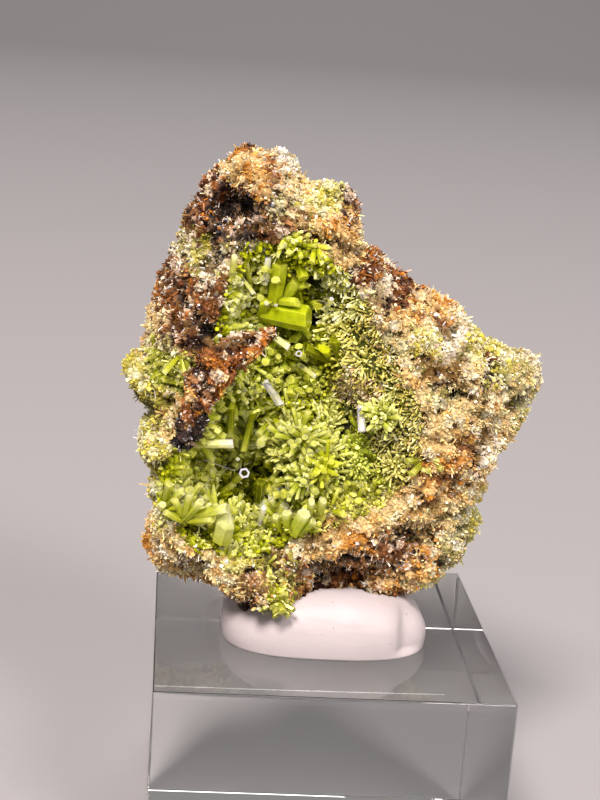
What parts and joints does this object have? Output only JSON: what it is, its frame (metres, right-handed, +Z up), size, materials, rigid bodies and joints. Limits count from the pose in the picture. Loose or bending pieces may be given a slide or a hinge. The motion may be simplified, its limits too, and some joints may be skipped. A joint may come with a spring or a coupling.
{
  "type": "pyromorphite specimen on a clear block",
  "caption": "Mineral specimen: green pyromorphite crystals in a hollow of rusty matrix, held upright by white putty on a clear acrylic display block.",
  "frame": {"origin": "centre of the underside of the clear block", "axes": "+Z up, +X to the viewer's right, +Y away from the viewer; the crystals face -Y"},
  "size_m": [0.0388, 0.032, 0.0656],
  "materials": {
    "clear_acrylic": "polished",
    "white_putty": "matte",
    "rusty_matrix": "matte",
    "green_pyromorphite": "gloss"
  },
  "bodies": {
    "root": {"acrylic_block": "clear_acrylic", "putty": "white_putty", "matrix_rock": "rusty_matrix", "pyromorphite_crust": "green_pyromorphite"}
  },
  "joints": []
}
